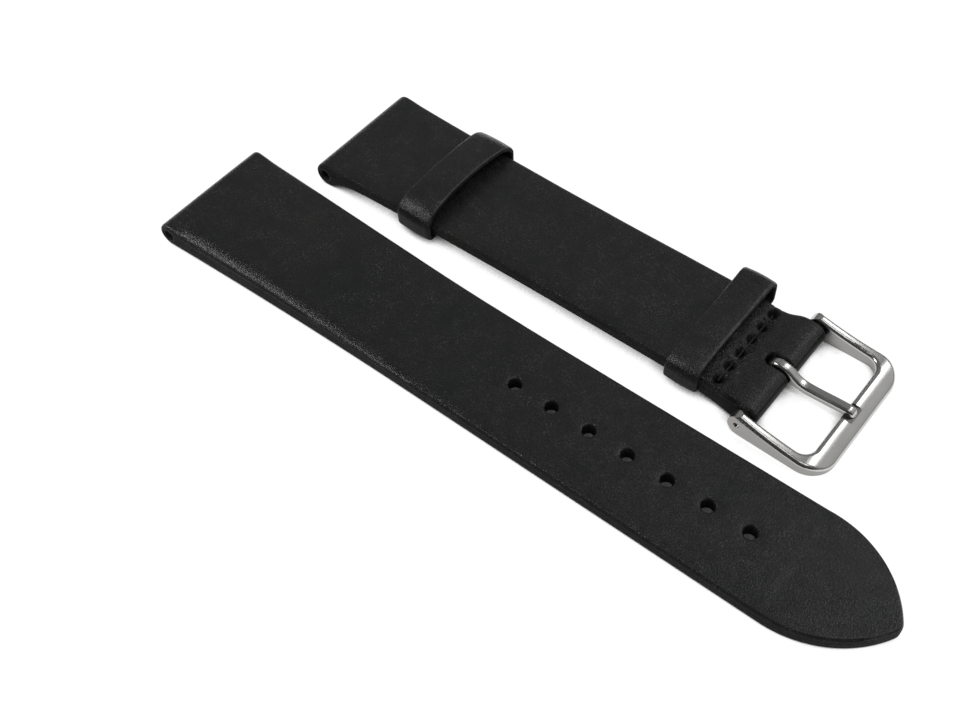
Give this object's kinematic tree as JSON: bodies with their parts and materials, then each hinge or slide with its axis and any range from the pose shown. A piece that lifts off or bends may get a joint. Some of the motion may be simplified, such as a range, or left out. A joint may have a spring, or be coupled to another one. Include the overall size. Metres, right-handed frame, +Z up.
{
  "type": "watch strap",
  "caption": "Leather watch strap in its two halves, lying side by side: a pointed tail half with tongue holes, and a buckle half with two keeper loops and a polished pin buckle.",
  "frame": {"origin": "on the surface that the strap lies on, under the middle of the set", "axes": "+X along both halves from their lug ends to the tail's tip and the buckle, +Y from the tail half to the buckle half, +Z up"},
  "size_m": [0.1164, 0.0444, 0.0063],
  "materials": {
    "cover_leather": "smooth calf with a fine grain, semi-matt",
    "lining_leather": "matt, finely napped",
    "filler": "pressed fibre padding, matt",
    "tape": "woven reinforcing tape, matt",
    "thread": "twisted thread, waxed",
    "polished_steel": "polished stainless steel",
    "bar_steel": "turned stainless steel"
  },
  "bodies": {
    "tail": {"tail_cover": "cover_leather", "tail_filler": "filler", "tail_lining": "lining_leather", "tail_tunnel_tape": "tape"},
    "strap": {"short_cover": "cover_leather", "short_filler": "filler", "short_lining": "lining_leather", "short_tunnel_tape": "tape", "bar_loop_tape": "tape", "needle_thread": "thread", "bobbin_thread": "thread", "fixed_keeper_band": "cover_leather", "fixed_keeper_lining": "lining_leather"},
    "free_keeper": {"free_keeper_band": "cover_leather", "free_keeper_lining": "lining_leather"},
    "buckle": {"buckle_frame": "polished_steel", "bar_tube": "bar_steel", "bar_spring": "bar_steel"},
    "tongue": {"buckle_tongue": "polished_steel"},
    "near_pin": {"near_bar_pin": "bar_steel"},
    "far_pin": {"far_bar_pin": "bar_steel"}
  },
  "joints": [
    {"name": "strap_apart", "type": "slide", "parent": "tail", "child": "strap", "axis": [0, 0, 1], "range_m": [0, 0.03]},
    {"name": "free_keeper_slide", "type": "slide", "parent": "strap", "child": "free_keeper", "axis": [1, 0, 0], "range_m": [-0.005, 0.04]},
    {"name": "buckle_hinge", "type": "hinge", "parent": "strap", "child": "buckle", "pos_m": [0.02785, 0.01105, 0.00185], "axis": [0, -1, 0], "range_deg": [-70, 30]},
    {"name": "tongue_hinge", "type": "hinge", "parent": "buckle", "child": "tongue", "pos_m": [0.02785, 0.01105, 0.00185], "axis": [0, -1, 0], "range_deg": [0, 75]},
    {"name": "near_pin_slide", "type": "slide", "parent": "buckle", "child": "near_pin", "axis": [0, 1, 0], "range_m": [0, 0.0012], "stiffness_N_per_m": 500, "deforming": ["bar_spring"]},
    {"name": "far_pin_slide", "type": "slide", "parent": "buckle", "child": "far_pin", "axis": [0, -1, 0], "range_m": [0, 0.0012], "stiffness_N_per_m": 500, "deforming": ["bar_spring"]}
  ]
}
